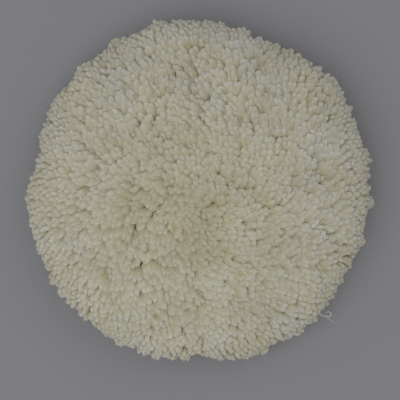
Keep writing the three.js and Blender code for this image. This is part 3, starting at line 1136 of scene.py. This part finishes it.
WOOL_BUMP_DEPTH = 0.3
# The wool's colour by depth below the tip: light at the tip, then darker and olive deeper in, painted shade
# of the pile's hollows.
WOOL_SHADE_BY_DEPTH = [(0.0, (0.88, 0.862, 0.762)), (0.12, (0.868, 0.848, 0.742)), (0.3, (0.83, 0.807, 0.685)),
                 (0.6, (0.71, 0.67, 0.47)), (1.0, (0.50, 0.455, 0.27))]
WOOL_TINTS = {
    "yellow": [(0.0, (0.985, 1.0, 1.08)), (0.5, (1.0, 0.995, 0.95)), (1.0, (0.89, 0.875, 0.745))],
    # Painted shade: darker and olive in the creases between yarn ends.
    "crease_shade": [(0.0, (1.0, 1.0, 1.0)), (0.5, (0.97, 0.96, 0.925)), (1.0, (0.89, 0.87, 0.775))],
    "hue": [(0.0, (1.02, 0.99, 0.975)), (0.4, (1.0, 1.0, 1.0)), (0.7, (1.0, 1.0, 1.01)),
            (1.0, (0.98, 1.0, 0.97))],
    "tone": [(0.0, (0.915, 0.905, 0.88)), (1.0, (1.04, 1.04, 1.05))],
}
WOOL_STREAKS = [(0.35, (0.94, 0.93, 0.905)), (0.62, (1.025, 1.025, 1.025))]


def wool_material(name, bump_strength):
    """Wool: a colour by depth, whose painted shade darkens and turns olive deeper in, tinted by what its
    points carry, with streaks of fibre along each strand.
    """
    material, tree, shader = new_material(name)
    colour = ramp(tree, attribute(tree, "depth"), WOOL_SHADE_BY_DEPTH)
    for value, stops in WOOL_TINTS.items():
        colour = multiply(tree, colour, ramp(tree, attribute(tree, value), stops))
    strand = attribute(tree, "strand", "Vector")
    streaks = ramp(tree, noise(tree, strand, 4.0, 4.0, (1, 1, 0.12)), WOOL_STREAKS)
    height = noise(tree, strand, 4.0, 4.0, (1, 1, 0.2))
    colour = multiply(tree, colour, streaks)
    finish_shader(tree, shader, colour, 0.95, 0.1, height, bump_strength, WOOL_BUMP_DEPTH)
    return material


# ---- The pile ----

def pile_colours():
    """Each ply's tone, and each yarn's hue and how yellow its place on the face is, from 0 to 1."""
    x, y = points[:, 0, -1, 0], points[:, 0, -1, 1]
    tone = np.clip(0.5 + 0.24 * smooth_noise(x, y, 40, 21)[:, None]
                   + rng.normal(0, 0.14, (COUNT, 1)) + rng.normal(0, 0.06, (COUNT, PLIES)), 0, 1)
    hue = np.clip(0.45 + 0.18 * smooth_noise(x, y, 30, 22) + rng.normal(0, 0.14, COUNT), 0, 1)
    from_patch = np.hypot(x - PATCH_PLACE[0], y - PATCH_PLACE[1])
    yellow = 0.4 * np.exp(-((from_patch / 32) ** 2)) + 0.6 * np.exp(-((from_patch / 95) ** 2))
    return tone, hue, np.clip(yellow + 0.1 * smooth_noise(x, y, 45, 23), 0, 1)


def pile():
    wool = wool_material("wool_yarn", bump_strength=0.35)
    wisp_wool = wool_material("wool_wisps", bump_strength=0)
    row_of = np.clip(np.rint(along_cloth(tip_length) / ROW_PITCH), 0, ROW_COUNT).astype(int)
    for row in range(ROW_COUNT + 1):
        node = "pile_centre" if row == 0 else f"pile_row_{row:02d}"
        members = np.flatnonzero(row_of == row)
        yarns = yarn_piece(f"yarns_{node}", members, wool)
        for piece in (yarns, wisp_piece(f"wisps_{node}", members, wisp_wool)):
            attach(piece, "root")
            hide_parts(node)
    closed_piece("loose_yarn", curled_yarn(), wisp_wool)
    closed_piece("stray_fibres", stray_fibres(), wisp_wool, smooth=False)


# ---- The backing ----

def loop_face():
    profile = disc_profile(LOOP_DISC_RADIUS, LOOP_FACE, LOOP_FACE + LOOP_DISC_THICKNESS, 0.6, SEAM_RADII)
    grid = add_lumps(turned(profile, 320), 14, 0.07, 33)
    fabric = closed_piece("loop_fabric", grid, layer_material("loop_fabric"), "loop_disc")
    grids, coords = nap_grids()
    nap_material = layer_material("loop_nap")
    nap = closed_piece("loop_nap", grids, nap_material, coords=coords, smooth=False)


def foam_layer():
    edge = [(1.6, 0), (0.6, 0.3), (0.1, 1.0), (0, 1.8), (0.4, 2.6), (1.4, 3.6)]
    side = [(FOAM_RADIUS - inset, FOAM_LOW + rise) for inset, rise in edge]
    side += [(FOAM_RADIUS - 2.8, FOAM_HIGH - 0.3), (FOAM_RADIUS - 4.2, FOAM_HIGH)]
    profile = [(0.5, FOAM_LOW)] + spaced((0.5, FOAM_LOW), side[0], 24) + side
    profile += spaced(side[-1], (0.5, FOAM_HIGH), 24) + [(0.5, FOAM_HIGH)]
    grid = turned(profile, 320)
    grid = add_lumps(grid, 9, 0.12, 34, share(np.hypot(grid[..., 0], grid[..., 1]), 66, 6))
    foam = closed_piece("foam_layer", grid, layer_material("open_cell_foam"), "foam_cushion")


def fibre_board():
    low, high = (corner[2] for corner in cad_box("fibre_stiffener"))
    grid = add_lumps(turned(disc_profile(FLAT_RADIUS, low, high, 0.35)), 18, 0.05, 35)
    closed_piece("fibre_board", grid, layer_material("pressed_fibre"), "fibre_stiffener")


def latex_skin():
    grid, coords = dish_grid(COAT_INNER_BEND, COAT_OUTER_BEND)
    reach = np.linalg.norm(coords[..., :2], axis=-1)
    stitched_rings = 0.07 * np.cos(TURN * reach / ROW_PITCH)
    grid[..., 2] += stitched_rings * (reach < FLAT_RADIUS)
    grid = add_lumps(grid, 7, 0.06, 36)
    closed_piece("latex_skin", grid, layer_material("latex"), "latex_coat", coords=coords)


def woven_cloth():
    grid, coords = dish_grid(CLOTH_INNER_BEND, BEND_RADIUS)
    woven = layer_material("woven_cotton")
    cloth = closed_piece("woven_cloth", grid, woven, "tufting_cloth", coords=coords)


def on_tape(sunk, across):
    """Where the binding's thread is: sunk into the tape, and moved across its middle."""
    return on_bend(SEAM_BEND + 1.0 * sunk, SEAM_ANGLE + across / SEAM_BEND)


def sewn_thread(name, place, radius, seed, thread, node):
    """A seam round the pad, as a piece that stands for its CAD node."""
    grid, coords = seam_grid(place, radius, seed)
    return closed_piece(name, grid, thread, node, looped=True, coords=coords)


def binding(thread):
    grid, coords = tape_grid()
    twill = layer_material("twill_tape")
    tape = closed_piece("twill_tape", grid, twill, "edge_binding", looped=True, coords=coords)
    seam = sewn_thread("binding_seam", on_tape, FLAT_RADIUS + SEAM_BEND, 43, thread, "binding_stitch")


def loop_seams(thread):
    for where, radius, seed in (("outer", SEAM_RADII[1], 41), ("inner", SEAM_RADII[0], 42)):
        def on_face(sunk, across, radius=radius):
            return radius + across, SEAM_HEIGHT + 0.8 * sunk

        sewn_thread(f"seam_{where}", on_face, radius, seed, thread, f"loop_stitch_{where}")


tone, hue, yellow = pile_colours()
pile()
sewing_thread = layer_material("sewing_thread")
foam_layer()
loop_face()
loop_seams(sewing_thread)
fibre_board()
latex_skin()
woven_cloth()
binding(sewing_thread)

# ---- Stage, camera and light, in metres ----

FLOOR_SIZE = 6
FLOOR_COLOUR = (0.405, 0.405, 0.43, 1)
CAMERA_PLACE = (0.0003, -0.005, 0.566)
CAMERA_LENS = 85
WORLD_COLOUR = (0.97, 0.98, 0.98, 1)
WORLD_STRENGTH = 0.287


def floor():
    bpy.ops.mesh.primitive_plane_add(size=FLOOR_SIZE)
    plane = bpy.context.object
    plane.name = "floor"
    material, _, shader = new_material("floor_paper")
    shader.inputs["Base Color"].default_value = FLOOR_COLOUR
    shader.inputs["Roughness"].default_value = 0.9
    plane.data.materials.append(material)


def area_light(name, place, size, power):
    """A round soft light, aimed at the middle of the pad."""
    data = bpy.data.lights.new(name, "AREA")
    data.shape = "DISK"
    data.size = size
    data.energy = power
    light = bpy.data.objects.new(name, data)
    light.location = place
    light.rotation_euler = (-Vector(place)).to_track_quat("-Z", "Y").to_euler()
    bpy.context.scene.collection.objects.link(light)


def camera():
    data = bpy.data.cameras.new("camera")
    data.lens = CAMERA_LENS
    data.clip_end = 20
    cam = bpy.data.objects.new("camera", data)
    cam.location = CAMERA_PLACE
    bpy.context.scene.collection.objects.link(cam)
    bpy.context.scene.camera = cam


def world():
    studio = bpy.data.worlds.new("studio")
    studio.use_nodes = True
    background = studio.node_tree.nodes["Background"]
    background.inputs["Color"].default_value = WORLD_COLOUR
    background.inputs["Strength"].default_value = WORLD_STRENGTH
    bpy.context.scene.world = studio
    bpy.context.scene.view_settings.view_transform = "Standard"


floor()
camera()
area_light("key", (-0.55, -0.5, 1.1), size=1.6, power=4.75)
area_light("fill", (0.7, 0.6, 0.9), size=1.0, power=1.27)
world()
